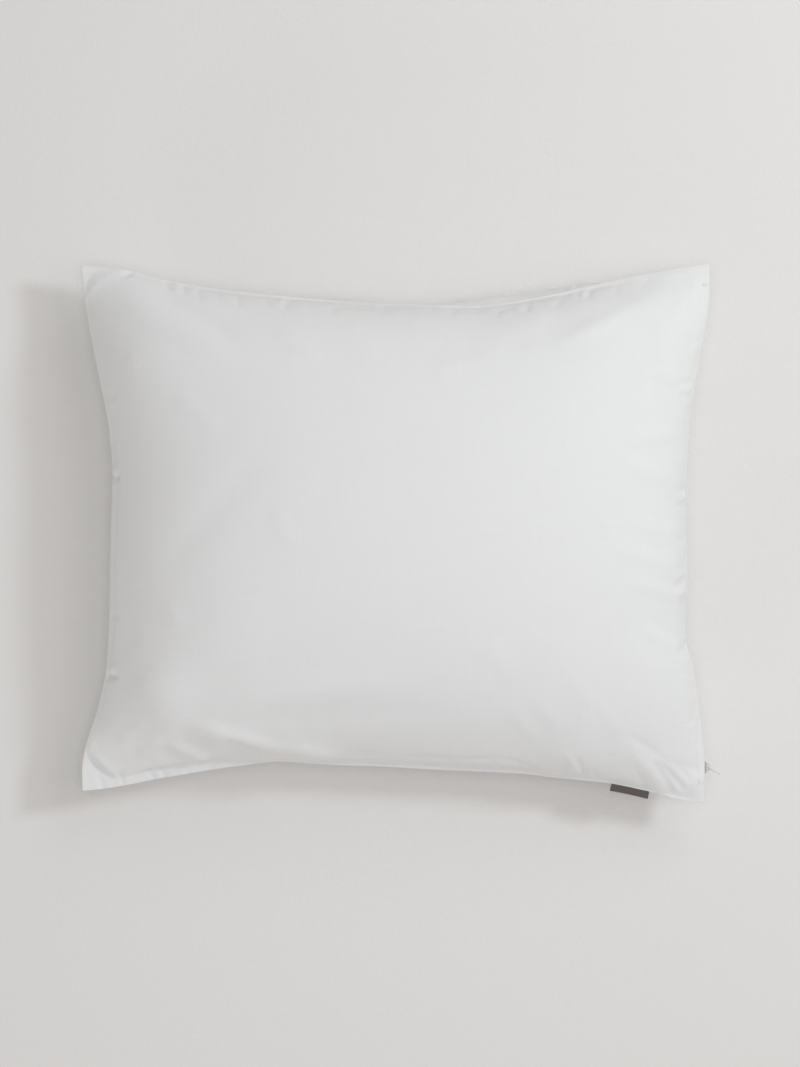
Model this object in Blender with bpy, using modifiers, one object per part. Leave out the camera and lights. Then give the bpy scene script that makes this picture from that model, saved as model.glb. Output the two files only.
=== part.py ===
"""Zipped pillow protector, 50 x 60 cm, drawn over its pillow and lying on its back.

Pieces: the sewn cover with its fill, which is one soft solid, the coil zip let into its right
side, the zip's slider, the slider's pull tab and the woven label caught in the bottom seam.

Frame: X runs along the long sides with the zip at +X, Y runs up the cover, Z is off the floor.
The origin lies on the floor under the middle of the whole part. Sizes are in millimetres, and
MM turns them into metres where the meshes are made.
"""
import math
from collections import namedtuple

import bmesh
import bpy
from mathutils import Vector

MM = 0.001
GAP = 0.3                       # between pieces that touch

# Filled cover
COLUMNS, ROWS = 52, 46          # facets across and up each of its two panels
CROWDING = 0.5                  # how far the facets crowd towards the seams, 0 to 1
PANEL_WIDTH = 572.0             # between the side seams near the corners
PANEL_HEIGHT = 490.0
FRONT_CROWN = 92.0              # front panel's middle above the seam
BACK_CROWN = 98.0               # back panel's middle below the seam, before the floor
FLOOR_SOFTNESS = 11.0           # how gently the back panel turns onto the floor
ROUNDNESS = 2.2                 # power of the crown's arch across the cover
STEEPNESS = 0.45                # power of its rise from the seam
CORNER_BRINK = 6.0              # how wide the fill's rounded corners are where they drop away
SEAM_THICKNESS = 2.4            # two cloths and their turned allowance
ZIP_LIPS_THICKNESS = 8.6        # the two folded lips that the zip lies between
ZIP_LIPS_RUN_IN = 18.0          # over which the lips open out from each corner

# Zip
ZIP_HALF_HEIGHT = 3.0
ZIP_THICKNESS = 1.6
ZIP_SINK = 0.1                  # its face below the edges of the lips
ZIP_ENDS = (0.050, 0.950)       # shares of the right side where it starts and stops
SLIDER_SHARE = 0.066            # share of the right side where the slider stands
SLIDER_LENGTH, SLIDER_HEIGHT, SLIDER_PLATE = 10.0, 7.0, 1.9
SLIDER_TAIL = 0.72              # height of its closed end against its mouth
BRIDGE_LENGTH, BRIDGE_HEIGHT, BRIDGE_BAR = 6.0, 1.6, 0.8
SLOT_LENGTH, SLOT_DEPTH = 3.8, 2.0
PULL_LENGTH, PULL_WIDTH, PULL_THICKNESS = 13.3, 5.0, 1.0
PULL_NECK = 0.78                # width at its eye against its free end
PULL_EYE_BAR, PULL_EYE_LENGTH, PULL_EYE_WIDTH = 0.9, 2.3, 2.3
PULL_DROP = math.radians(30.0)  # how far it hangs below straight out

# Label
LABEL_ENDS = (0.8513, 0.9124)   # shares of the bottom side
LABEL_DEPTH, LABEL_THICKNESS = 7.2, 1.2

# Sewn corners. The fill stops short of each on an arc of fill_radius, which is round at a
# fill_power of 2 and flatter below it, and leaves the two cloths flat outside the arc.
Corner = namedtuple("Corner", "x y height fill_radius fill_power")
CORNERS = {
    "bottom left": Corner(-292.6, -236.9, 56.0, 42.0, 1.25),
    "bottom right": Corner(279.9, -248.4, 58.0, 14.0, 2.0),
    "top left": Corner(-294.0, 247.5, 58.0, 38.0, 2.0),
    "top right": Corner(284.2, 248.4, 60.0, 16.0, 2.0),
}

# One row for each station along a side, from its left or lower corner: share of the side,
# how far the seam is drawn in, its height off the floor, and the flat flange inside it.
Station = namedtuple("Station", "share drawn_in height flange")
BOTTOM_SIDE = [Station(*row) for row in (
    (0.000, 0.0, 56, 6), (0.045, 3.3, 57, 6), (0.125, 13.0, 60, 6), (0.222, 23.8, 64, 6),
    (0.320, 31.5, 66, 3), (0.375, 29.6, 66, 2), (0.460, 29.2, 67, 7), (0.576, 26.9, 67, 10),
    (0.704, 24.8, 66, 8), (0.790, 20.2, 65, 1), (0.852, 17.0, 63, 1), (0.915, 9.8, 61, 1),
    (0.962, 3.0, 59, 1), (1.000, 0.0, 58, 1))]
TOP_SIDE = [Station(*row) for row in (
    (0.000, 0.0, 58, 2), (0.070, 5.0, 60, 1), (0.150, 16.7, 63, 1), (0.260, 26.7, 67, 2),
    (0.420, 35.2, 70, 6), (0.550, 38.8, 71, 6), (0.645, 39.1, 71, 6), (0.750, 29.5, 69, 3),
    (0.810, 21.2, 67, 1), (0.900, 10.1, 63, 1), (1.000, 0.0, 60, 1))]
LEFT_SIDE = [Station(*row) for row in (
    (0.000, 0.0, 56, 2), (0.065, 1.0, 58, 2), (0.160, 15.6, 62, 1), (0.230, 23.3, 65, 1),
    (0.320, 26.6, 67, 2), (0.500, 28.8, 69, 2), (0.608, 30.0, 69, 2), (0.700, 26.0, 68, 1),
    (0.800, 16.2, 65, 1), (0.900, 6.8, 61, 1), (1.000, 0.0, 58, 1))]
RIGHT_SIDE = [Station(*row) for row in (
    (0.000, 0.0, 58, 2), (0.090, 0.5, 60, 2), (0.150, 4.5, 62, 2), (0.240, 11.0, 65, 2),
    (0.300, 16.5, 67, 3), (0.500, 18.2, 69, 3), (0.700, 17.8, 68, 3), (0.800, 10.8, 66, 4),
    (0.885, 3.2, 63, 5), (0.930, 0.0, 62, 6), (1.000, 0.0, 60, 6))]

# The back panel's brow, where it swells under the top seam: share of the top side, and how
# far the brow stands past the seam, or short of it if below zero.
Swell = namedtuple("Swell", "share past_seam")
BACK_SWELLS = [Swell(*row) for row in (
    (0.00, -10.0), (0.12, -7.0), (0.24, -4.5), (0.30, -3.0), (0.37, 0.2), (0.455, 1.5),
    (0.525, -3.5), (0.58, 2.0), (0.65, 7.0), (0.71, 5.4), (0.80, 3.0), (0.85, -2.0),
    (0.92, -6.0), (1.00, -10.0))]
BROW_DEPTH = 10.0               # along the cloth from the seam to the brow

# Main folds of the front panel: where each starts and ends, how far its middle bows to its
# left, its half width, and its rise, which is below zero for a trough.
Fold = namedtuple("Fold", "start_x start_y end_x end_y bow half_width rise")
FOLDS = [Fold(*row) for row in (
    (-226, -160, -60, -214, 4, 15, 8.0),        # long ridge that ends at the bottom seam
    (-216, -184, -106, -214, 3, 12, -6.0),      # hollow beneath it
    (-236, -190, -172, -213, 0, 9, 2.5),
    (-272, 218, -140, 152, 5, 15, 3.0),         # soft ridge out of the top left corner
    (-262, 196, -168, 150, 4, 12, -2.5),
    (276, 240, 232, 170, 0, 11, 4.0),           # fan out of the top right corner
    (264, 232, 172, 182, 6, 12, 3.5),
    (250, 238, 156, 206, 8, 11, -4.0),
    (172, 216, 92, 178, 6, 13, -3.0),
    (134, 194, 60, 162, 4, 13, 2.5),
    (276, -242, 220, -188, -4, 10, 4.0),        # pinch into the bottom right corner
    (264, -244, 206, -200, -4, 10, -4.0),
    (244, -238, 188, -196, -3, 11, 2.5),
    (170, -228, 148, -198, 0, 10, -2.5),
)]
FOLD_FADE = 0.28                # share of a fold's length over which each end dies away

Finish = namedtuple("Finish", "colour roughness metallic")
FINISHES = {
    "cotton": Finish((0.78, 0.78, 0.78), 0.9, 0.0),
    "zip_coil": Finish((0.80, 0.80, 0.79), 0.6, 0.0),
    "zip_metal": Finish((0.42, 0.42, 0.43), 0.35, 1.0),
    "woven_label": Finish((0.13, 0.11, 0.11), 0.85, 0.0),
}


# ---------------------------------------------------------------- the cover's shape
def clamp(value, low=0.0, high=1.0):
    return max(low, min(high, value))


def ease(value):
    """0 to 1 with level ends."""
    value = clamp(value)
    return value * value * (3.0 - 2.0 * value)


def read(rows, column, share):
    """A column of a table at a share of the side, on a smooth curve through its rows."""
    count = len(rows)
    index = next((i for i in range(1, count - 1) if share < rows[i].share), count - 1)
    low, high = rows[index - 1], rows[index]
    span = high.share - low.share

    def slope(i):
        before, after = rows[max(i - 1, 0)], rows[min(i + 1, count - 1)]
        rise = getattr(after, column) - getattr(before, column)
        return rise / (after.share - before.share) * span

    t = (share - low.share) / span
    start, end = getattr(low, column), getattr(high, column)
    return ((1 + 2 * t) * (1 - t) ** 2 * start + t * t * (3 - 2 * t) * end
            + t * (1 - t) ** 2 * slope(index - 1) - t * t * (1 - t) * slope(index))


def seam(rows, first, last, inward, share):
    """A point of one side's seam."""
    first, last = CORNERS[first], CORNERS[last]
    drawn_in = read(rows, "drawn_in", share)
    return Vector((first.x + (last.x - first.x) * share + inward[0] * drawn_in,
                   first.y + (last.y - first.y) * share + inward[1] * drawn_in,
                   read(rows, "height", share)))


def bottom_seam(share):
    return seam(BOTTOM_SIDE, "bottom left", "bottom right", (0, 1), share)


def top_seam(share):
    return seam(TOP_SIDE, "top left", "top right", (0, -1), share)


def left_seam(share):
    return seam(LEFT_SIDE, "bottom left", "top left", (1, 0), share)


def right_seam(share):
    return seam(RIGHT_SIDE, "bottom right", "top right", (-1, 0), share)


def seam_plane(across, up):
    """The curved plane that the four seams span, at shares across and up the cover."""
    corners = ((left_seam(0) * (1 - across) + right_seam(0) * across) * (1 - up)
               + (left_seam(1) * (1 - across) + right_seam(1) * across) * up)
    return (bottom_seam(across) * (1 - up) + top_seam(across) * up
            + left_seam(up) * (1 - across) + right_seam(up) * across - corners)


def filled_reach(share, size, first_flange, last_flange):
    """Place across the fill, from -1 at one flange to 1 at the other."""
    filled = size - first_flange - last_flange
    return clamp(2 * (share * size - first_flange) / filled - 1, -1.0, 1.0)


def arch(across, up):
    """The fill's rise off the seam plane, 0 in the flanges and corners, 1 in the middle."""
    x = filled_reach(across, PANEL_WIDTH, read(LEFT_SIDE, "flange", up),
                     read(RIGHT_SIDE, "flange", up))
    y = filled_reach(up, PANEL_HEIGHT, read(BOTTOM_SIDE, "flange", across),
                     read(TOP_SIDE, "flange", across))
    corner = CORNERS[("top " if y > 0 else "bottom ") + ("right" if x > 0 else "left")]
    x, y = abs(x), abs(y)
    into_x = max(0.0, 1 - (1 - x) * PANEL_WIDTH / 2 / corner.fill_radius)
    into_y = max(0.0, 1 - (1 - y) * PANEL_HEIGHT / 2 / corner.fill_radius)
    power = corner.fill_power
    past_arc = ((into_x ** power + into_y ** power) ** (1 / power) - 1) * corner.fill_radius
    return (((1 - x ** ROUNDNESS) * (1 - y ** ROUNDNESS)) ** STEEPNESS
            * (1 - ease(past_arc / CORNER_BRINK)))


def half_thickness(across, up):
    """Half of what lies between the panels' outer faces where there is no fill."""
    run_in = ZIP_LIPS_RUN_IN / PANEL_HEIGHT
    lips = ease(up / run_in) * ease((1 - up) / run_in) * ease(1 - (1 - across) * 25)
    return (SEAM_THICKNESS + (ZIP_LIPS_THICKNESS - SEAM_THICKNESS) * lips) / 2


def fold_rise(x, y):
    """How far the folds lift or sink the front panel at a point of the plan."""
    total = 0.0
    for fold in FOLDS:
        run_x, run_y = fold.end_x - fold.start_x, fold.end_y - fold.start_y
        length = math.hypot(run_x, run_y)
        off_x, off_y = x - fold.start_x, y - fold.start_y
        along = (off_x * run_x + off_y * run_y) / length ** 2
        if not 0 < along < 1:
            continue
        aside = (off_y * run_x - off_x * run_y) / length - fold.bow * 4 * along * (1 - along)
        fade = ease(along / FOLD_FADE) * ease((1 - along) / FOLD_FADE)
        total += fold.rise * fade * math.exp(-(aside / fold.half_width) ** 2)
    return total


def on_floor(height):
    """Heights below the floor come to rest on it, with a soft turn where they meet it."""
    if height <= -FLOOR_SOFTNESS:
        return 0.0
    if height >= FLOOR_SOFTNESS:
        return height
    return (height + FLOOR_SOFTNESS) ** 2 / (4 * FLOOR_SOFTNESS)


def front_point(across, up):
    point = seam_plane(across, up)
    rise = arch(across, up)
    point.z += half_thickness(across, up) + FRONT_CROWN * rise
    point.z += fold_rise(point.x, point.y) * ease(rise * 4)
    return point


def back_point(across, up):
    point = seam_plane(across, up)
    point.z = on_floor(point.z - half_thickness(across, up) - BACK_CROWN * arch(across, up))
    depth = (1 - up) * PANEL_HEIGHT / BROW_DEPTH
    brow = BROW_DEPTH + read(BACK_SWELLS, "past_seam", across)
    point.y += brow * depth * math.exp(1 - depth)
    return point


# ---------------------------------------------------------------- making the pieces
def clear_scene():
    for thing in list(bpy.data.objects):
        bpy.data.objects.remove(thing, do_unlink=True)


def collection(name):
    group = bpy.data.collections.new(name)
    bpy.context.scene.collection.children.link(group)
    return group


def material(name):
    finish = FINISHES[name]
    made = bpy.data.materials.new(name)
    made.use_nodes = True
    shader = made.node_tree.nodes["Principled BSDF"]
    shader.inputs["Base Color"].default_value = (*finish.colour, 1.0)
    shader.inputs["Roughness"].default_value = finish.roughness
    shader.inputs["Metallic"].default_value = finish.metallic
    return made


def add_piece(name, bm, group, finish=None):
    """An object from a bmesh drawn in millimetres."""
    bmesh.ops.scale(bm, vec=(MM, MM, MM), verts=bm.verts)
    bmesh.ops.recalc_face_normals(bm, faces=bm.faces)
    mesh = bpy.data.meshes.new(name)
    bm.to_mesh(mesh)
    bm.free()
    piece = bpy.data.objects.new(name, mesh)
    group.objects.link(piece)
    if finish:
        mesh.materials.append(finish)
    return piece


def add_cutter(name, bm, group):
    piece = add_piece(name, bm, group)
    piece.hide_render = True
    piece.display_type = 'WIRE'
    return piece


def boolean(piece, operation, other):
    modifier = piece.modifiers.new(operation.title(), 'BOOLEAN')
    modifier.operation = operation
    modifier.solver = 'EXACT'
    modifier.object = other


def bevel(piece, width, segments=2):
    modifier = piece.modifiers.new("Rounded edges", 'BEVEL')
    modifier.width = width * MM
    modifier.segments = segments
    modifier.limit_method = 'ANGLE'


def crowded(place):
    """Places -1 to 1 moved towards the seams, as a share 0 to 1."""
    return (1 + place * (1 - CROWDING) + math.sin(place * math.pi / 2) * CROWDING) / 2


def add_panel(bm, panel_point):
    """One of the cover's two cloths. Returns the edges that its seams run along."""
    verts = bmesh.ops.create_grid(bm, x_segments=COLUMNS, y_segments=ROWS, size=1.0)["verts"]
    for vert in verts:
        vert.co = panel_point(crowded(vert.co.x), crowded(vert.co.y))
    edges = {edge for vert in verts for edge in vert.link_edges if edge.is_boundary}
    return list(edges)


def right_side_frame(share):
    """A point of the right seam, and the level direction straight out of it."""
    step = 0.004
    run = right_seam(share + step) - right_seam(share - step)
    return right_seam(share), Vector((run.y, -run.x, 0)).normalized()


def side_bar(stations, near, far, half_height):
    """A bar along the right side, between two depths, as a bmesh in millimetres."""
    bm = bmesh.new()
    profile = ((near, -half_height), (far, -half_height), (far, half_height), (near, half_height))
    loops = []
    for share in stations:
        point, out = right_side_frame(share)
        loops.append([bm.verts.new(point + out * depth + Vector((0, 0, height)))
                      for depth, height in profile])
    for low, high in zip(loops, loops[1:]):
        for i in range(4):
            bm.faces.new((low[i], low[i - 1], high[i - 1], high[i]))
    bm.faces.new(loops[0])
    bm.faces.new(loops[-1])
    return bm


def zip_stations(first, last):
    """The zip's two ends, and the cover's facet lines between them."""
    lines = (crowded(2 * row / ROWS - 1) for row in range(ROWS + 1))
    return [first] + [share for share in lines if first < share < last] + [last]


def make_cover(parts, cutters):
    bm = bmesh.new()
    seams = add_panel(bm, front_point) + add_panel(bm, back_point)
    bmesh.ops.bridge_loops(bm, edges=seams)
    bmesh.ops.triangulate(bm, faces=bm.faces, quad_method='SHORT_EDGE')
    cover = add_piece("cover", bm, parts, material("cotton"))
    cover.data.shade_smooth()

    first, last = ZIP_ENDS
    channel_depth = ZIP_SINK + ZIP_THICKNESS + GAP
    end_gap = GAP / PANEL_HEIGHT
    channel = side_bar(zip_stations(first - end_gap, last + end_gap),
                       -channel_depth, channel_depth, ZIP_HALF_HEIGHT + GAP)
    boolean(cover, 'DIFFERENCE', add_cutter("zip_channel", channel, cutters))


def make_zip(parts):
    bar = side_bar(zip_stations(*ZIP_ENDS), -ZIP_SINK - ZIP_THICKNESS, -ZIP_SINK, ZIP_HALF_HEIGHT)
    add_piece("zip_chain", bar, parts, material("zip_coil"))


def block(size, centre=(0, 0, 0)):
    """A box as a bmesh in millimetres."""
    bm = bmesh.new()
    bmesh.ops.create_cube(bm, size=1.0)
    bmesh.ops.scale(bm, vec=size, verts=bm.verts)
    bmesh.ops.translate(bm, vec=centre, verts=bm.verts)
    return bm


def make_slider(parts, cutters, metal):
    """Plate, bridge and slot, drawn with X straight out of the zip and Y up it."""
    point, out = right_side_frame(SLIDER_SHARE)
    plate = block((SLIDER_PLATE, SLIDER_LENGTH, SLIDER_HEIGHT), (GAP + SLIDER_PLATE / 2, 0, 0))
    for vert in plate.verts:
        if vert.co.y < 0:
            vert.co.z *= SLIDER_TAIL
    slider = add_piece("zip_slider", plate, parts, metal)
    bevel(slider, 0.5)

    plate_top = GAP + SLIDER_PLATE
    reach = SLOT_DEPTH + BRIDGE_BAR
    sunk = SLIDER_PLATE / 2
    bridge = add_cutter("slider_bridge", block(
        (reach + sunk, BRIDGE_LENGTH, BRIDGE_HEIGHT),
        (plate_top + (reach - sunk) / 2, 0, 0)), cutters)
    bevel(bridge, 0.25, 1)
    slot = add_cutter("slider_slot", block(
        (SLOT_DEPTH, SLOT_LENGTH, 2 * BRIDGE_HEIGHT),
        (plate_top + SLOT_DEPTH / 2, 0, 0)), cutters)
    boolean(slider, 'UNION', bridge)
    boolean(slider, 'DIFFERENCE', slot)

    for piece in (slider, bridge, slot):
        piece.location = point * MM
        piece.rotation_euler.z = math.atan2(out.y, out.x)
    return slider


def make_pull(parts, cutters, metal, slider):
    """The tab, drawn with X along it from the middle of its eye's bar, which is in the slot."""
    bar = PULL_EYE_BAR / 2
    tab = block((PULL_LENGTH, PULL_THICKNESS, PULL_WIDTH), (PULL_LENGTH / 2 - bar, 0, 0))
    for vert in tab.verts:
        if vert.co.x < 0:
            vert.co.z *= PULL_NECK
    pull = add_piece("zip_pull", tab, parts, metal)
    bevel(pull, 0.25, 1)
    eye = add_cutter("pull_eye", block(
        (PULL_EYE_LENGTH, 3 * PULL_THICKNESS, PULL_EYE_WIDTH),
        (bar + PULL_EYE_LENGTH / 2, 0, 0)), cutters)
    boolean(pull, 'DIFFERENCE', eye)
    for piece in (pull, eye):
        piece.parent = slider
        piece.location = Vector((GAP + SLIDER_PLATE + SLOT_DEPTH / 2, 0, 0)) * MM
        piece.rotation_euler.z = -PULL_DROP - slider.rotation_euler.z


def make_label(parts):
    """The folded ribbon, which follows the bottom seam and stands straight out of it."""
    bm = bmesh.new()
    grid = bmesh.ops.create_grid(bm, x_segments=6, y_segments=2, size=1.0)
    first, last = LABEL_ENDS
    step = 0.004
    middle = (first + last) / 2
    run = bottom_seam(middle + step) - bottom_seam(middle - step)
    out = Vector((run.y, -run.x, 0)).normalized()
    for vert in grid["verts"]:
        share = first + (last - first) * (vert.co.x + 1) / 2
        depth = GAP + LABEL_DEPTH * (vert.co.y + 1) / 2
        vert.co = bottom_seam(share) + out * depth
    label = add_piece("label", bm, parts, material("woven_label"))
    fold = label.modifiers.new("Folded ribbon", 'SOLIDIFY')
    fold.thickness = LABEL_THICKNESS * MM
    fold.offset = 0.0


clear_scene()
pieces = collection("pillow_protector")
cutting_shapes = collection("cutters")
make_cover(pieces, cutting_shapes)
make_zip(pieces)
zip_metal = material("zip_metal")
zip_slider = make_slider(pieces, cutting_shapes, zip_metal)
make_pull(pieces, cutting_shapes, zip_metal, zip_slider)
make_label(pieces)
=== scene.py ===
"""A zipped pillow protector, 50 x 60 cm, drawn over its pillow and lying on its back.

The sections follow the way it is put together: the floor that it lies on and its light, the
cover and how it settles round the pillow, the topstitching, the zip, its slider and pull, and
the label. The light is given in metres, and every piece in millimetres.
"""
import math
from collections import namedtuple

import bmesh
import bpy
import numpy as np
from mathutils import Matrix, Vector


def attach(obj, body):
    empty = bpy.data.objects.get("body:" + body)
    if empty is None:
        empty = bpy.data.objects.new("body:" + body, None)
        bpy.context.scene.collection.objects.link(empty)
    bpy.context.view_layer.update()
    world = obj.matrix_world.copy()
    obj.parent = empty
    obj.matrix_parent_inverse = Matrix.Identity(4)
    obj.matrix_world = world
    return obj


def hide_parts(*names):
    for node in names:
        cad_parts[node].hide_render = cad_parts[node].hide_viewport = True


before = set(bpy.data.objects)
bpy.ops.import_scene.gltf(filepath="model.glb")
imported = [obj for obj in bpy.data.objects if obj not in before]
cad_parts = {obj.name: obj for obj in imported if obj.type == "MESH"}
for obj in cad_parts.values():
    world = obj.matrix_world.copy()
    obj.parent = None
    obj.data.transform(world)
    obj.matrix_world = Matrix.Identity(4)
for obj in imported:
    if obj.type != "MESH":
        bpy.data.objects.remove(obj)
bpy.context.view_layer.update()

# ------------------------------------------------------------------------------------------
# Where it lies: a pale matt floor with a low grain, seen from straight above through a long
# lens. The smallest of the soft round lights, on the right, draws the folds, and the others
# fill the shade.
# ------------------------------------------------------------------------------------------
MM = 0.001                             # of a metre
CAMERA_HEIGHT = 2.8
CAMERA_LENS = 100.3
FLOOR_SIZE = 12.0
FLOOR_COLOUR = (0.812, 0.798, 0.780)
FLOOR_GRAIN_SIZE = 3.2 * MM
FLOOR_GRAIN_RISE = 0.32 * MM
ROOM_COLOUR = (1.0, 0.977, 0.957)
ROOM_STRENGTH = 0.372

# Each light's bearing from +X and height above the floor in degrees, its own width and its
# distance in metres, its power and its tint.
SoftLight = namedtuple("SoftLight", "name bearing elevation width distance power tint")
SOFT_LIGHTS = [SoftLight(*row) for row in (
    ("window", 20, 46, 0.45, 2.6, 17.37, (0.910, 0.970, 1.0)),
    ("high_window", 60, 45, 1.1, 2.2, 5.10, (0.974, 0.988, 1.0)),
    ("side", 0, 62, 1.1, 2.2, 3.37, (1.0, 0.916, 0.927)),
    ("overhead", 0, 90, 1.1, 3.2, 15.87, (0.981, 0.985, 1.0)),
    ("low_left", 150, 15, 1.1, 2.6, 2.0, (1.0, 1.0, 1.0)),
    ("low_front", 240, 15, 1.1, 2.6, 10.0, (1.0, 1.0, 1.0)),
)]


def principled(name):
    """A new material and its shader."""
    made = bpy.data.materials.new(name)
    made.use_nodes = True
    return made, made.node_tree.nodes["Principled BSDF"]


def linked(tree, kind, inputs=(), **settings):
    """A new shader node. Its inputs are plain values or other nodes' outputs."""
    made = tree.nodes.new("ShaderNode" + kind)
    for name, value in settings.items():
        setattr(made, name, value)
    for name, value in dict(inputs).items():
        if isinstance(value, bpy.types.NodeSocket):
            tree.links.new(value, made.inputs[name])
        else:
            made.inputs[name].default_value = value
    return made


def shader_group(name, inputs, outputs):
    """A new node group with these sockets, what it is given and what it puts out."""
    tree = bpy.data.node_groups.new(name, 'ShaderNodeTree')
    for way, sockets in (('INPUT', inputs), ('OUTPUT', outputs)):
        for socket, kind in sockets:
            tree.interface.new_socket(socket, in_out=way, socket_type='NodeSocket' + kind)
    return tree, tree.nodes.new("NodeGroupInput").outputs, tree.nodes.new("NodeGroupOutput").inputs


# Soft random patches, so many to the metre, with finer ones in them for a higher detail.
soft_grain, given, shown = shader_group(
    "soft_grain", (("Position", 'Vector'), ("Patches", 'Float'), ("Detail", 'Float')),
    (("Pattern", 'Float'),))
noise = linked(soft_grain, "TexNoise", {
    "Vector": given["Position"], "Scale": given["Patches"], "Detail": given["Detail"]})
soft_grain.links.new(noise.outputs["Fac"], shown["Pattern"])


def grain(tree, patches, detail):
    """The pattern of soft random patches, placed in a material."""
    place = linked(tree, "TexCoord").outputs["Object"]
    return linked(tree, "Group", {"Position": place, "Patches": patches, "Detail": detail},
                  node_tree=soft_grain).outputs["Pattern"]


def into_scene(name, data):
    """A new object that shows this mesh, light or camera."""
    thing = bpy.data.objects.new(name, data)
    bpy.context.scene.collection.objects.link(thing)
    return thing


camera = into_scene("overhead_camera", bpy.data.cameras.new("overhead_camera"))
camera.data.lens = CAMERA_LENS
camera.location = (0, 0, CAMERA_HEIGHT)
bpy.context.scene.camera = camera

floor_mesh = bmesh.new()
bmesh.ops.create_grid(floor_mesh, x_segments=1, y_segments=1, size=FLOOR_SIZE / 2)
floor = into_scene("floor", bpy.data.meshes.new("floor"))
floor_mesh.to_mesh(floor.data)
floor_mesh.free()
floor_paint, shader = principled("floor_paint")
shader.inputs["Base Color"].default_value = (*FLOOR_COLOUR, 1)
shader.inputs["Roughness"].default_value = 0.95
shader.inputs["Specular IOR Level"].default_value = 0.2
tree = floor_paint.node_tree
floor_bump = linked(tree, "Bump", {"Height": grain(tree, 1 / FLOOR_GRAIN_SIZE, 2.0),
                                   "Distance": FLOOR_GRAIN_RISE})
tree.links.new(floor_bump.outputs["Normal"], shader.inputs["Normal"])
floor.data.materials.append(floor_paint)

for row in SOFT_LIGHTS:
    bearing, elevation = math.radians(row.bearing), math.radians(row.elevation)
    towards = Vector((math.cos(bearing) * math.cos(elevation),
                      math.sin(bearing) * math.cos(elevation), math.sin(elevation)))
    light = into_scene(row.name + "_light", bpy.data.lights.new(row.name + "_light", 'AREA'))
    light.data.shape = 'DISK'
    light.data.size = row.width
    light.data.energy = row.power
    light.data.color = row.tint
    light.location = towards * row.distance
    light.rotation_euler = towards.to_track_quat('Z', 'Y').to_euler()
room = bpy.data.worlds.new("room")
room.use_nodes = True
room.node_tree.nodes["Background"].inputs["Color"].default_value = (*ROOM_COLOUR, 1)
room.node_tree.nodes["Background"].inputs["Strength"].default_value = ROOM_STRENGTH
bpy.context.scene.world = room
bpy.context.scene.view_settings.view_transform = 'Standard'

# ------------------------------------------------------------------------------------------
# The cover: two panels of white cotton percale, sewn round three sides and turned right side
# out. The pillow fills it, draws its sides in and leaves the cloth flat at the corner tips.
# ------------------------------------------------------------------------------------------
CUT_WIDTH, CUT_HEIGHT = 600.0, 500.0   # of each panel between its seams, laid flat
CELLS_ACROSS, CELLS_UP = 114, 92       # of each panel as it settles, and half of the finished ones
CROWDING = 0.42                        # how far the cells crowd towards the seams, 0 to 1
PANEL_WIDTH, PANEL_HEIGHT = 572.0, 490.0   # between the seams when filled, near the corners
FRONT_CROWN, BACK_CROWN = 92.0, 98.0   # the panels' middles from the seam plane
FLOOR_SOFTNESS = 11.0                  # how gently the back panel turns onto the floor
ROUNDNESS_ACROSS, ROUNDNESS_UP = 2.6, 2.2  # powers of the crown's arch along its two axes
STEEPNESS = 0.45                       # power of its rise from the seams
SEAM_SLACK = 0.07                      # how soon the rise eases towards a straight slope
SEAM_THICKNESS = 2.4                   # two cloths and their turned allowance
ZIP_LIPS_THICKNESS = 8.6               # the two folded lips that the zip lies between
ZIP_LIPS_RUN_IN = 18.0                 # over which the lips open out from each corner
ZIP_LIPS_DEPTH = 1 / 25                # share of the width over which they close again
BROW_DEPTH = 10.0                      # along the back panel from the top seam to its brow

# Sewn corners. The fill stops short of each on an arc of fill_radius, which is round at a
# fill_power of 2 and flatter below it. It drops to the two flat cloths over its brink.
Corner = namedtuple("Corner", "x y fill_radius fill_power brink")
CORNERS = {
    "bottom left": Corner(-292.6, -236.9, 34.0, 1.0, 7.0),
    "bottom right": Corner(279.9, -248.4, 14.0, 2.0, 10.0),
    "top left": Corner(-294.0, 247.5, 36.0, 1.9, 9.0),
    "top right": Corner(284.2, 248.4, 16.0, 2.0, 8.0),
}

# One row for each station along a side, from its left or lower corner: share of the side,
# how far the seam is drawn in, its height off the floor, and the flat flange inside it.
Station = namedtuple("Station", "share drawn_in height flange")
BOTTOM_SIDE = [Station(*row) for row in (
    (0.000, 0.0, 59, 7), (0.045, 3.3, 57, 7), (0.125, 13.0, 60, 8), (0.222, 23.8, 64, 7),
    (0.262, 27.2, 65, 4), (0.285, 29.4, 65, 2), (0.320, 31.5, 66, 1), (0.375, 29.6, 66, 1),
    (0.460, 29.2, 67, 3), (0.576, 26.9, 67, 5), (0.704, 24.8, 66, 4), (0.790, 20.2, 65, 1),
    (0.852, 17.0, 63, 1), (0.915, 9.8, 61, 1), (0.962, 3.0, 59, 1), (1.000, 0.0, 58, 1))]
TOP_SIDE = [Station(*row) for row in (
    (0.000, 0.0, 58, 2), (0.070, 5.0, 60, 1), (0.150, 16.7, 63, 1), (0.260, 26.7, 67, 2),
    (0.420, 35.2, 70, 1), (0.550, 38.8, 71, 1), (0.645, 39.1, 71, 1), (0.750, 29.5, 69, 1),
    (0.810, 21.2, 67, 1), (0.900, 10.1, 63, 1), (1.000, 0.0, 60, 1))]
LEFT_SIDE = [Station(*row) for row in (
    (0.000, 0.0, 59, 2), (0.065, 1.0, 58.5, 2), (0.160, 15.6, 62, 1), (0.230, 23.3, 65, 1),
    (0.320, 26.6, 67, 2), (0.500, 28.8, 69, 2), (0.608, 30.0, 69, 2), (0.700, 26.0, 68, 1),
    (0.800, 16.2, 65, 1), (0.900, 6.8, 61, 1), (1.000, 0.0, 58, 1))]
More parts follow.
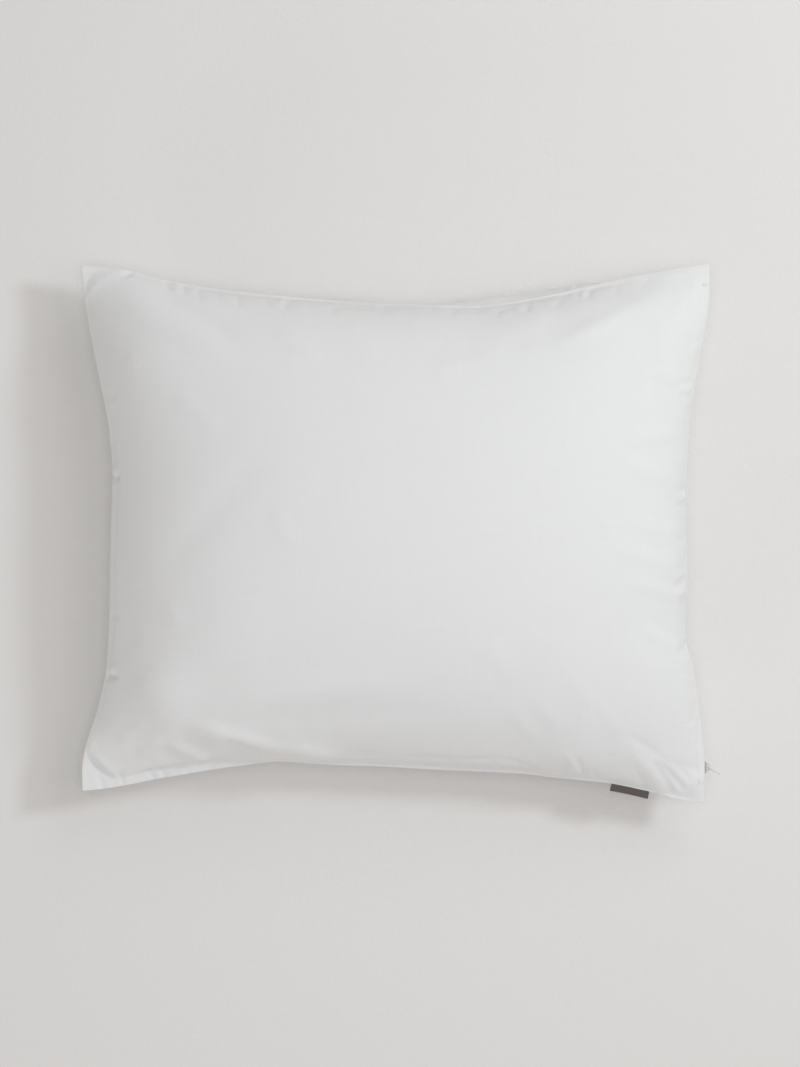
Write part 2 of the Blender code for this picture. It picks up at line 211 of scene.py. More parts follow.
RIGHT_SIDE = [Station(*row) for row in (
    (0.000, 0.0, 58, 2), (0.090, 0.5, 60, 2), (0.150, 4.5, 62, 1), (0.240, 11.0, 65, 0),
    (0.270, 14.4, 66, 0), (0.300, 18.4, 67, 0), (0.339, 20.1, 68, 0), (0.400, 19.0, 69, 0),
    (0.450, 18.7, 69, 0), (0.540, 20.9, 69, 0), (0.654, 18.7, 68, 0), (0.700, 17.8, 68, 0),
    (0.800, 10.8, 66, 0), (0.885, 3.2, 63, 0), (0.930, 0.0, 62, 0), (1.000, 0.0, 60, 1))]

# The back panel's brow, where it swells under the top seam: share of the top side, and how
# far the brow stands past the seam, or short of it if below zero.
Swell = namedtuple("Swell", "share past_seam")
BACK_SWELLS = [Swell(*row) for row in (
    (0.00, -10.0), (0.12, -7.0), (0.24, -4.5), (0.30, -3.0), (0.37, 0.2), (0.455, 1.5),
    (0.525, -3.5), (0.58, 2.0), (0.65, 7.0), (0.71, 5.4), (0.80, 3.0), (0.85, -2.0),
    (0.92, -6.0), (1.00, -10.0))]


def ease(value):
    """0 to 1 with level ends."""
    value = np.clip(value, 0.0, 1.0)
    return value * value * (3.0 - 2.0 * value)


def read(rows, column, share):
    """A table's column at shares of the side, on a smooth curve through its rows."""
    at = np.array([row.share for row in rows])
    value = np.array([getattr(row, column) for row in rows], float)
    before, after = np.r_[0, :len(at) - 1], np.r_[1:len(at), len(at) - 1]
    slope = (value[after] - value[before]) / (at[after] - at[before])
    low = np.clip(np.searchsorted(at, share, side='right') - 1, 0, len(at) - 2)
    span = at[low + 1] - at[low]
    t = (share - at[low]) / span
    return ((1 + 2 * t) * (1 - t) ** 2 * value[low] + t * t * (3 - 2 * t) * value[low + 1]
            + (t * (1 - t) ** 2 * slope[low] - t * t * (1 - t) * slope[low + 1]) * span)


# Each side's stations, its two corners, and which way is into the cover from it.
SIDES = {
    "bottom": (BOTTOM_SIDE, "bottom left", "bottom right", (0, 1)),
    "top": (TOP_SIDE, "top left", "top right", (0, -1)),
    "left": (LEFT_SIDE, "bottom left", "top left", (1, 0)),
    "right": (RIGHT_SIDE, "bottom right", "top right", (-1, 0)),
}


def seam(side, share):
    """Points of one side's seam, in millimetres."""
    share = np.asarray(share, float)
    rows, first, last, inward = SIDES[side]
    first, last = CORNERS[first], CORNERS[last]
    drawn_in = read(rows, "drawn_in", share)
    return np.stack((first.x + (last.x - first.x) * share + inward[0] * drawn_in,
                     first.y + (last.y - first.y) * share + inward[1] * drawn_in,
                     read(rows, "height", share)), axis=-1)


def seam_plane(across, up):
    """The curved plane that the four seams span, at shares across and up the cover."""
    x, y = across[..., None], up[..., None]
    corners = ((seam("left", 0) * (1 - x) + seam("right", 0) * x) * (1 - y)
               + (seam("left", 1) * (1 - x) + seam("right", 1) * x) * y)
    return (seam("bottom", across) * (1 - y) + seam("top", across) * y
            + seam("left", up) * (1 - x) + seam("right", up) * x - corners)


def filled_reach(share, size, first_flange, last_flange):
    """Place across the fill, from -1 at one flange to 1 at the other."""
    filled = size - first_flange - last_flange
    return np.clip(2 * (share * size - first_flange) / filled - 1, -1.0, 1.0)


def arch(across, up):
    """The fill's rise off the seam plane, 0 in the flanges and corners, 1 in the middle."""
    x = filled_reach(across, PANEL_WIDTH, read(LEFT_SIDE, "flange", up),
                     read(RIGHT_SIDE, "flange", up))
    y = filled_reach(up, PANEL_HEIGHT, read(BOTTOM_SIDE, "flange", across),
                     read(TOP_SIDE, "flange", across))
    rise = (1 - abs(x) ** ROUNDNESS_ACROSS) * (1 - abs(y) ** ROUNDNESS_UP)
    rise *= ((rise + SEAM_SLACK) / (1 + SEAM_SLACK)) ** (STEEPNESS - 1)
    for name, corner in CORNERS.items():
        to_x = x if "right" in name else -x
        to_y = y if "top" in name else -y
        into_x = np.maximum(0, 1 - (1 - to_x) * PANEL_WIDTH / 2 / corner.fill_radius)
        into_y = np.maximum(0, 1 - (1 - to_y) * PANEL_HEIGHT / 2 / corner.fill_radius)
        both = (into_x > 0) & (into_y > 0)
        power = corner.fill_power
        reach = (into_x ** power + into_y ** power) ** (1 / power)
        rise *= np.where(both, 1 - ease((reach - 1) * corner.fill_radius / corner.brink), 1)
    return rise


def lips(across, up):
    """1 along the right edge where the zip's lips stand open, 0 elsewhere."""
    run_in = ZIP_LIPS_RUN_IN / PANEL_HEIGHT
    return ease(up / run_in) * ease((1 - up) / run_in) * ease(1 - (1 - across) / ZIP_LIPS_DEPTH)


def half_thickness(across, up):
    """Half of what lies between the panels' outer faces where there is no fill."""
    return (SEAM_THICKNESS + (ZIP_LIPS_THICKNESS - SEAM_THICKNESS) * lips(across, up)) / 2


def on_floor(height):
    """Heights below the floor come to rest on it, with a soft turn where they meet it."""
    turn = (height + FLOOR_SOFTNESS) ** 2 / (4 * FLOOR_SOFTNESS)
    return np.where(height <= -FLOOR_SOFTNESS, 0, np.where(height >= FLOOR_SOFTNESS, height, turn))


def front_panel(across, up):
    """The outer face of the front, as the fill alone would hold it."""
    points = seam_plane(across, up)
    points[..., 2] += half_thickness(across, up) + FRONT_CROWN * arch(across, up)
    return points


def back_panel(across, up):
    """The outer face of the back, with its brow under the top seam, lying on the floor."""
    points = seam_plane(across, up)
    drop = half_thickness(across, up) + BACK_CROWN * arch(across, up)
    points[..., 2] = on_floor(points[..., 2] - drop)
    depth = (1 - up) * PANEL_HEIGHT / BROW_DEPTH
    brow = BROW_DEPTH + read(BACK_SWELLS, "past_seam", across)
    points[..., 1] += brow * (depth * np.exp(1 - depth)) ** 2
    return points


def panel_grid(cells_across, cells_up):
    """Shares across and up the cover of a panel's points, crowded towards the seams."""
    def spaced(cells):
        place = np.linspace(-1, 1, cells + 1)
        return (1 + place * (1 - CROWDING) + np.sin(place * math.pi / 2) * CROWDING) / 2

    return np.meshgrid(spaced(cells_across), spaced(cells_up))


def quads(numbers):
    """The four-cornered faces of a grid of vertex numbers."""
    return np.stack((numbers[:-1, :-1], numbers[:-1, 1:], numbers[1:, 1:], numbers[1:, :-1]),
                    axis=-1).reshape(-1, 4)


def rim(grid):
    """A grid's border, once round, counterclockwise from its lower left corner."""
    return np.concatenate((grid[0, :-1], grid[:-1, -1], grid[-1, :0:-1], grid[:0:-1, 0]))


def closed_cover(name, front, back, rim_rows):
    """A mesh of two panels, in millimetres, joined round the rim through further rows."""
    rows, columns = front.shape[:2]
    count = rows * columns
    front_numbers = np.arange(count).reshape(rows, columns)
    back_numbers = front_numbers + count
    points = [front.reshape(-1, 3), back.reshape(-1, 3)]
    rings = [rim(front_numbers)]
    for row in rim_rows:
        rings.append(np.arange(len(row)) + sum(len(block) for block in points))
        points.append(row)
    rings.append(rim(back_numbers))
    faces = [quads(front_numbers), quads(back_numbers)[:, ::-1]]
    ring_grid = np.array(rings)
    faces.append(quads(np.concatenate((ring_grid, ring_grid[:, :1]), axis=1))[:, ::-1])
    mesh = bpy.data.meshes.new(name)
    mesh.from_pydata(np.concatenate(points) * MM, [], np.concatenate(faces).tolist())
    mesh.update()
    return mesh


# Folds that the sewn corners throw across the front: from start to end, how far they bow
# aside, the half-width, and the rise of a ridge or, below zero, the depth of a trough.
Fold = namedtuple("Fold", "start_x start_y end_x end_y bow half_width rise")
FOLDS = [Fold(*row) for row in (
    (-208, -171, -36, -216, -2, 12, 11.0), (-168, -196, -86, -215, 0, 6, -5.0),
    (-272, 218, -140, 152, 5, 15, 2.4),
    (278, 252, 256, 148, 0, 9, 2.4), (262, 244, 240, 190, 0, 9, -1.4),
    (264, 228, 150, 174, 5, 8, 1.2), (226, 208, 140, 164, 5, 7, -0.7),
    (160, 208, 70, 150, 6, 9, -1.0), (134, 194, 60, 162, 4, 13, 0.8),
    (246, -236, 204, -196, -2, 7, 1.0))]
FOLD_FADE = 0.28                       # share of its length over which a fold rises and sinks
FOLDS_FULL_AT = 1 / 12                 # share of the fill's rise by which they stand at full size

# Broad places where the pillow stands fuller, or slacker if the rise is below zero.
Swelling = namedtuple("Swelling", "x y half_x half_y rise")
FRONT_SWELLINGS = [Swelling(*row) for row in (
    (-176, -110, 68, 62, 6.0), (-212, -152, 34, 34, 8.0), (-190, -10, 50, 60, 1.5),
    (-220, 160, 42, 44, 4.5), (230, -130, 28, 66, 2.6), (200, 224, 90, 17, -4.0))]

# How the cloth settles: each panel keeps the lengths it was cut to, the seams stay where they
# are, and the pillow pushes it out, so that what the seams gather shows as puckers.
SETTLE_FRAMES = 20
SETTLE_PRESSURE = 3.0
LYING_HEIGHT = 0.5                     # below which the back panel lies still on the floor


def fold_rise(folds, x, y):
    """The height that folds add at points of the cloth."""
    rise = np.zeros_like(x)
    for fold in folds:
        run = Vector((fold.end_x - fold.start_x, fold.end_y - fold.start_y))
        length = run.length
        run /= length
        from_x, from_y = x - fold.start_x, y - fold.start_y
        along = (from_x * run.x + from_y * run.y) / length
        aside = from_y * run.x - from_x * run.y - fold.bow * 4 * along * (1 - along)
        fades = ease(along / FOLD_FADE) * ease((1 - along) / FOLD_FADE)
        rise += fold.rise * fades * np.exp(-(aside / fold.half_width) ** 2)
    return rise


def swelling_rise(swellings, x, y):
    """The height that broad swellings and dents add at points of the cloth."""
    rise = np.zeros_like(x)
    for place in swellings:
        apart = ((x - place.x) / place.half_x) ** 2 + ((y - place.y) / place.half_y) ** 2
        rise += place.rise * np.exp(-apart)
    return rise


def settled(front, back, across, up):
    """The two panels after a run of cloth simulation."""
    mesh = closed_cover("settling_cover", front, back, [])
    cloth = into_scene("settling_cover", mesh)
    flat = np.stack((across * CUT_WIDTH, up * CUT_HEIGHT, np.zeros_like(up)), axis=-1)
    flat = np.concatenate((flat.reshape(-1, 3), flat.reshape(-1, 3))) * MM
    cloth.shape_key_add(name="in place")
    cut = cloth.shape_key_add(name="as cut")
    cut.data.foreach_set("co", flat.ravel())
    held = cloth.vertex_groups.new(name="held")
    numbers = np.arange(across.size).reshape(across.shape)
    lying = np.flatnonzero(back[..., 2].ravel() < LYING_HEIGHT)
    for still in (rim(numbers), rim(numbers) + numbers.size, lying + numbers.size):
        held.add(still.tolist(), 1.0, 'REPLACE')
    modifier = cloth.modifiers.new("Cloth", 'CLOTH')
    settings = modifier.settings
    settings.quality = 6
    settings.mass = 0.1
    settings.tension_stiffness = 20
    settings.compression_stiffness = 20
    settings.shear_stiffness = 8
    settings.bending_stiffness = 0.15
    settings.use_pressure = True
    settings.uniform_pressure_force = SETTLE_PRESSURE
    settings.vertex_group_mass = held.name
    settings.rest_shape_key = cut
    settings.effector_weights.gravity = 0
    modifier.collision_settings.use_collision = False
    modifier.point_cache.frame_start = 1
    modifier.point_cache.frame_end = SETTLE_FRAMES
    for number in range(1, SETTLE_FRAMES + 1):
        bpy.context.scene.frame_set(number)
    shape = cloth.evaluated_get(bpy.context.evaluated_depsgraph_get()).data
    points = np.empty(len(shape.vertices) * 3)
    shape.vertices.foreach_get("co", points)
    bpy.data.objects.remove(cloth, do_unlink=True)
    bpy.context.scene.frame_set(1)
    return points.reshape(2, *front.shape) / MM


def levelled(change):
    """A change of shape without the jitter from one line of the grid to the next."""
    for axis in (0, 1):
        wide = np.concatenate((change.take([0], axis), change, change.take([-1], axis)), axis)
        count = change.shape[axis]
        before, after = wide.take(range(count), axis), wide.take(range(2, count + 2), axis)
        change = (before + 2 * change + after) / 4
    return change


def twice_as_fine(change):
    """A grid of changes with a line added between each two, on a smooth curve."""
    for axis in (0, 1):
        change = np.moveaxis(change, axis, 0)
        wide = np.concatenate((change[:1], change, change[-1:]))
        fine = np.empty((2 * len(change) - 1, *change.shape[1:]))
        fine[0::2] = change
        fine[1::2] = (9 * (change[:-1] + change[1:]) - wide[:-3] - wide[3:]) / 16
        change = np.moveaxis(fine, 0, axis)
    return change


across, up = panel_grid(CELLS_ACROSS, CELLS_UP)
fine_across, fine_up = panel_grid(2 * CELLS_ACROSS, 2 * CELLS_UP)
front, back = front_panel(fine_across, fine_up), back_panel(fine_across, fine_up)
filled = ease(arch(fine_across, fine_up) / FOLDS_FULL_AT)
front[..., 2] += filled * (fold_rise(FOLDS, front[..., 0], front[..., 1])
                           + swelling_rise(FRONT_SWELLINGS, front[..., 0], front[..., 1]))
for panel, after in zip((front, back), settled(front[::2, ::2], back[::2, ::2], across, up)):
    panel += twice_as_fine(levelled(levelled(after - panel[::2, ::2])))

# Faint folds that stay in the settled cloth: some cross the middle, others fan out from the
# zip's side and from the lower corners.
SOFT_FOLDS = [Fold(*row) for row in (
    (-236, 227, -139, 167, 3, 10, -1.6), (-205, 125, -155, 93, 0, 9, 1.2),
    (-250, 162, -234, 150, 0, 7, 0.8), (-222, -48, -112, 78, 3, 14, -1.2),
    (-116, 30, -94, -14, 0, 8, 1.0), (-212, -60, -196, -84, 0, 9, 1.0),
    (-264, -120, -236, -84, 0, 8, -0.8), (-262, -193, -226, -167, 0, 4.5, 1.2),
    (-241, -203, -214, -184, 0, 4, 1.2), (-154, -158, 16, -131, 5, 11, 1.4),
    (-150, -170, 60, -160, 2, 10, -1.0), (-298, -198, -244, -235, 0, 5, 1.1),
    (74, -94, 104, -136, 0, 8, 0.8), (118, -146, 150, -182, 0, 8, 0.8),
    (150, -124, 178, -160, 0, 8, 0.8), (96, -150, 124, -190, 0, 7, 0.7),
    (176, -150, 206, -190, 0, 7, 0.8), (262, 138, 206, 150, 0, 6, 1.2),
    (262, 96, 200, 80, 0, 7, 1.3), (258, 46, 196, 62, 0, 7, 1.0),
    (258, -2, 200, 12, 0, 7, 0.9), (262, -34, 186, -10, 0, 7, 0.9),
    (260, -60, 200, -42, 0, 6, 1.0), (262, -112, 212, -82, 0, 6, 1.3),
    (256, 234, 132, 166, 3, 9, 1.7), (176, 206, 116, 166, 3, 8, -0.7),
    (108, 176, 20, 146, 4, 9, 1.3), (130, 186, 36, 154, 4, 8, -1.0),
    (272, 222, 259, 150, 0, 7, -1.4), (-112, 190, -70, 150, 0, 10, 0.9),
    (-58, 188, -14, 160, 0, 8, 0.8), (266, 246, 230, 136, 0, 16, 3.0),
    (-240, -122, -194, -186, 0, 22, 2.2), (-295, 204, -240, 245, 11, 3.5, 0.7))]

# What the sewing does to the cloth beside it. Each seam gathers small puckers, so far in and so
# high. On the front, a crease lies where the turned allowance ends inside, some puckers run
# deeper, and the top seam's stitches draw a groove, as the zip's topstitching does on both.
Gather = namedtuple("Gather", "reach rise")
GATHERS = {"left": Gather(11, 0.8), "right": Gather(16, 1.0),
           "bottom": Gather(12, 0.9), "top": Gather(13, 1.1)}
GATHER_SPACINGS = (9.0, 12.5, 17.0, 26.0)  # from one pucker to the next, mixed unevenly
GATHER_WANDER = 1.5                    # how far they stray from even spacing, in radians
WANDER_LENGTH, REACH_LENGTH = 41, 9    # along the seam, over which these change
PATCH_LENGTHS = (23, 37)               # the same for where there are puckers at all
GATHERS_START = 2.5                    # from the seam to their full height
GATHERS_FULL_AT = 1 / 6                # share of the fill's rise by which they are at full size
SEAM_CREASES = [Fold(*row) for row in (
    (-68, 207, -15, 205, 1, 1.9, -1.0), (-17, 205, 0, 205, 0, 1.8, -0.9),
    (40, 206, 82, 203, -1, 1.9, -1.0), (78, 203, 108, 207, -1, 1.9, -1.0),
    (-256, -226, -122, -203, 3, 2.0, -1.7), (-270, -233, -254, -224, 1, 2, -0.6),
    (-46, -201, 0, -203, 0, 2, -0.8), (0, -203, 52, -206, 0, 2.1, -1.4),
    (48, -206, 90, -204, -1, 2.1, -1.4), (86, -204, 134, -222, 3, 2, -1.3),
    (-266, -125, -262.3, -20, -1, 2.0, -1.3), (-262.3, -36, -260.4, 62, -0.6, 2.0, -1.3),
    (-260.4, 44, -267, 112, -1.5, 2.0, -1.2))]
PUCKERS = [Fold(*row) for row in (
    (-274, 128, -256, 123, 0, 2.4, -1.4), (-268, 52, -255, 51, 0, 2.8, -2.8),
    (-268, 58, -254, 60, 0, 2.8, 1.4), (-270, -76, -252, -75, 0, 2.4, -1.4),
    (-272, -132, -256, -130, 0, 2.8, -2.8), (-272, -126, -256, -122, 0, 2.6, 1.2),
    (269, 140, 252, 136, 1, 2.4, -1.2), (268, 133, 250, 130, 0, 2.4, 0.7),
    (268, 126, 253, 122, 0, 2.2, -0.9), (268, 101, 250, 99, 1, 2.6, -1.0),
    (266, 41, 248, 37, 1, 2.6, -2.0), (266, 34, 250, 32, 0, 2.4, 0.8),
    (266, 28, 249, 24, 0, 2.4, -1.5), (266, -3, 250, -7, 0, 2.4, -1.0),
    (266, -21, 250, -24, 0, 2.4, -1.3), (266, -28, 248, -33, 0, 2.6, -1.5),
    (265, -40, 244, -50, 1, 3.0, -1.8), (266, -50, 250, -58, 0, 2.4, 0.7),
    (266, -62, 251, -66, 0, 2.4, -0.9), (266, -97, 250, -111, 1, 2.6, -2.0),
    (270, -90, 256, -98, 0, 2.4, 0.8),
    (-289, -214, -277, -140, 0, 4.5, 1.5),
    (-244, 241, -257, 236, 0, 2.2, -1.2), (-216, 235, -211, 222, 0, 2.2, -1.1),
    (-207, 232, -203, 219, 0, 2.2, 0.9), (-200, 231, -196, 217, 0, 2.2, -1.0),
    (-186, 225, -182, 212, 0, 2.4, -1.2), (-168, 222, -166, 210, 0, 2.2, -0.8),
    (-150, 219, -146, 205, 0, 2.6, -1.1), (-122, 216, -120, 204, 0, 2.2, -0.9),
    (-104, 214, -106, 201, 0, 2.4, -1.2), (-84, 213, -82, 202, 0, 2.2, -0.7),
    (-60, 210, -63, 198, 0, 2.6, -1.2), (-40, 211, -42, 200, 0, 2.2, -0.6),
    (-15, 211, -16, 198, 0, 2.4, -1.5), (8, 207, 11, 196, 0, 2.4, -1.0),
    (28, 209, 30, 198, 0, 2.2, -0.7), (48, 206, 46, 194, 0, 2.6, -1.2),
    (66, 209, 62, 198, 0, 2.2, 0.7), (92, 207, 86, 195, 0, 2.4, -0.9),
    (120, 212, 112, 200, 0, 2.6, -1.3), (150, 217, 140, 205, 0, 2.4, -0.9),
    (176, 224, 166, 212, 0, 2.6, -1.2), (204, 230, 192, 217, 0, 2.6, -0.6),
    (232, 237, 218, 222, 0, 3.0, -0.5),
    (-279, -221, -272, -238, 0, 2.2, -1.6), (-260, -217, -254, -234, 0, 2.4, -2.0),
    (-232, -215, -225, -231, 0, 2.4, -1.8), (-221, -213, -214, -229, 0, 2.4, -1.9),
    (-199, -210, -192, -225, 0, 2.4, -1.6), (-178, -206, -172, -220, 0, 2.2, -1.1),
    (-162, -186, -112, -207, -1, 3.4, -2.2),
    (-214, -189, -172, -211, 1, 5.0, 2.2), (-222, -201, -182, -216, 1, 4.0, -0.7),
    (181, -226, 176, -214, 0, 2.2, -1.0), (262, -177, 270, -169, 0, 2.2, -0.8),
    (149, -196, 165, -224, 0, 3.6, 1.2), (158, -202, 171, -226, 0, 3.2, -1.5),
    (218, -204, 244, -246, 2, 5.0, 0.9), (196, -178, 276, -232, 3, 4.0, -1.0),
    (228, -206, 254, -246, 2, 3.0, -1.3), (232, -196, 276, -240, 2, 5.0, 0.8),
    (270, -214, 279, -252, 0, 4.0, 1.0), (240, -236, 274, -250, 0, 5.0, -1.2),
    (244, -216, 270, -246, 0, 4.0, -0.8), (252, -208, 280, -222, 0, 4.0, -1.0),
    (236, -208, 262, -238, 1, 2.2, -0.9), (246, -204, 270, -232, 1, 2.2, -0.8),
    (214, -214, 232, -246, 0, 2.4, -0.8))]
TOPSTITCH_INSET = 5.5                  # from the zip's edge to its line of stitches
TOPSTITCH_GROOVE = 0.25                # how deep they pull into the cloth
TOP_GROOVE_INSET = 3.4                 # from the top seam to where its stitches show
TOP_GROOVE = 0.80
TOP_GROOVE_FIRST, TOP_GROOVE_LAST = 0.16, 0.84   # shares of the top side
TOP_GROOVE_FADE = 1 / 8
TOP_GROOVE_CHANGE = 0.25               # share of its depth by which it comes and goes
TOP_GROOVE_CHANGES = 43                # radians of that along the side
GROOVE_HALF_WIDTH = 1.7


def lengths_from(points, axis, from_end):
    """How far along the cloth each point lies from the grid's first or last line."""
    steps = np.linalg.norm(np.diff(points, axis=axis), axis=-1)
    if from_end:
        steps = np.flip(steps, axis)
    zero = np.zeros_like(steps.take([0], axis))
    total = np.concatenate((zero, steps.cumsum(axis)), axis)
    return np.flip(total, axis) if from_end else total


def outward(points):
    """The unit normals of a grid of points, and nothing where the grid has no area."""
    normal = np.cross(np.gradient(points, axis=1), np.gradient(points, axis=0))
    return normal / np.maximum(np.linalg.norm(normal, axis=-1, keepdims=True), 1e-9)


def gathers(along, from_seam, chance, reach, rise):
    """Small uneven puckers that run in from a seam and die out."""
    waves = np.zeros_like(along)
    for spacing in GATHER_SPACINGS:
        phase = chance.uniform(0, math.tau)
        drift = chance.uniform(0, math.tau)
        wander = GATHER_WANDER * np.sin(along / WANDER_LENGTH + drift)
        waves += np.sin(math.tau * along / spacing + phase + wander)
    phases = chance.uniform(0, math.tau, 3)
    patches = sum(np.sin(along / length + phase) for length, phase in zip(PATCH_LENGTHS, phases))
    patches = ease(0.5 + 0.4 * patches)
    reach = reach * (0.6 + 0.8 * ease(0.5 + 0.5 * np.sin(along / REACH_LENGTH + phases[2])))
    dies_out = np.exp(-(from_seam / reach) ** 2) * ease(from_seam / GATHERS_START)
    return rise * patches * waves / 2 * dies_out


def groove(from_seam, inset):
    """A groove of depth 1 beside a seam, at points so far from it."""
    return np.exp(-((from_seam - inset) / GROOVE_HALF_WIDTH) ** 2)


chance = np.random.default_rng(5060)
seams = {
    "left": (fine_up * CUT_HEIGHT, 1, False), "right": (fine_up * CUT_HEIGHT, 1, True),
    "bottom": (fine_across * CUT_WIDTH, 0, False), "top": (fine_across * CUT_WIDTH, 0, True),
}
taut = ease(arch(fine_across, fine_up) / GATHERS_FULL_AT)
beside_zip = ease(fine_up * CUT_HEIGHT / ZIP_LIPS_RUN_IN)
beside_zip *= ease((1 - fine_up) * CUT_HEIGHT / ZIP_LIPS_RUN_IN)
pulled_in = ease((fine_across - TOP_GROOVE_FIRST) / TOP_GROOVE_FADE)
pulled_in *= ease((TOP_GROOVE_LAST - fine_across) / TOP_GROOVE_FADE)
pulled_in *= 1 - TOP_GROOVE_CHANGE * (1 - np.sin(fine_across * TOP_GROOVE_CHANGES))
for panel, side_up in ((front, 1), (back, -1)):
    relief = np.zeros_like(fine_up)
    for name, (along, axis, from_end) in seams.items():
        from_seam = lengths_from(panel, axis, from_end)
        relief += taut * gathers(along, from_seam, chance, *GATHERS[name])
    if panel is front:
        relief += fold_rise(SOFT_FOLDS + SEAM_CREASES + PUCKERS, panel[..., 0], panel[..., 1])
        from_top = lengths_from(panel, 0, True)
        relief -= TOP_GROOVE * pulled_in * groove(from_top, TOP_GROOVE_INSET)
    from_zip = lengths_from(panel, 1, True)
    relief -= TOPSTITCH_GROOVE * beside_zip * groove(from_zip, TOPSTITCH_INSET)
    panel += outward(panel) * (side_up * relief)[..., None]
back[..., 2] = np.maximum(back[..., 2], 0)

# The rim: the two cloths rolled over their seam, or, along the zip, the two folded lips and
# the channel between them. Each row of points goes out from the seam line, and from the
# middle up or down by a share of the rim's half thickness plus a length.
RimRow = namedtuple("RimRow", "plain_out plain_share lip_out lip_in")
RIM_ROWS = [RimRow(*row) for row in (
    (0.40, 0.80, 0.45, 0.5), (0.55, 0.45, 0.50, 1.1), (0.35, 0.18, -0.20, 1.6),
    (-0.40, 0.08, -2.50, 1.7), (-0.90, 0.03, -4.50, 1.7))]
RIM_MIDDLE = RimRow(-1.0, 0.0, -4.6, 0.0)
border_across, border_up = rim(fine_across), rim(fine_up)
border = (rim(front) + rim(back)) / 2
half = half_thickness(border_across, border_up)
lip = lips(border_across, border_up) * (border_across > 0.999)


def unit(vectors):
    """Vectors brought to a length of one."""
    return vectors / np.linalg.norm(vectors, axis=-1, keepdims=True)


def beside(run):
    """Level unit vectors at right angles to the directions of a run, on its right-hand side."""
    return unit(np.stack((run[:, 1], -run[:, 0], np.zeros(len(run))), axis=-1))


def round_the_rim(points):
    """The direction of a closed line at each of its points."""
    return np.roll(points, -1, axis=0) - np.roll(points, 1, axis=0)


out = beside(round_the_rim(border))


def rim_row(row, upper):
    """One row of points round the rim, above or below its middle."""
    reach = row.plain_out * (1 - lip) + row.lip_out * lip
    height = half * row.plain_share * (1 - lip) + (half - row.lip_in) * lip
    if row is RIM_MIDDLE:
        height = np.zeros_like(half)
    points = border + out * reach[:, None]
    points[:, 2] += height * (1 if upper else -1)
    return points


rim_points = ([rim_row(row, True) for row in RIM_ROWS] + [rim_row(RIM_MIDDLE, True)]
              + [rim_row(row, False) for row in reversed(RIM_ROWS)])
cover_mesh = closed_cover("cotton_cover", front, back, rim_points)
cover = into_scene("cotton_cover", cover_mesh)
cover_mesh.shade_smooth()


def lay_out(mesh, places):
    """A layer that says where each vertex lay on the flat cut cloth, in metres."""
    layer = mesh.uv_layers.new(name="cut")
    vertices = np.empty(len(mesh.loops), int)
    mesh.loops.foreach_get("vertex_index", vertices)
    layer.data.foreach_set("uv", (places[vertices] * MM).ravel())


RIM_STEP = 0.8                         # of cloth between one row of the rim and the next
panel_cut = np.stack((fine_across * CUT_WIDTH, fine_up * CUT_HEIGHT), axis=-1)
border_cut = rim(panel_cut)
cut_out = beside(round_the_rim(border_cut))[:, :2]
half_count = len(rim_points) // 2
rim_cut = [border_cut + cut_out * RIM_STEP * (half_count + 1 - abs(number - half_count))
           for number in range(len(rim_points))]
lay_out(cover_mesh, np.concatenate([panel_cut.reshape(-1, 2)] * 2 + rim_cut))


def maths(tree, operation, *values):
    """The result of one calculation with these values."""
    return linked(tree, "Math", enumerate(values), operation=operation).outputs[0]


def blend(tree, share, low, high):
    """A colour between two others, at a share of the way from the first."""
    return linked(tree, "Mix", {"Factor": share, "A": low, "B": high},
                  data_type='RGBA').outputs[2]


THREAD_STREAK = 0.7                    # width of the streaks that uneven threads make
WARP_STREAK_LENGTH = 45.0
WEFT_STREAK_LENGTH = 60.0


def thread_run(tree, place, width, length, seed):
    """Long soft streaks, as threads of uneven thickness make along their run."""
    stretched = linked(tree, "VectorMath", {0: place, 1: (1 / width, 1 / length, 0)},
                       operation='MULTIPLY')
    return linked(tree, "TexNoise", {"Vector": stretched.outputs[0], "Scale": 1.0, "Detail": 1.0,
                                     "W": seed}, noise_dimensions='4D').outputs["Fac"]


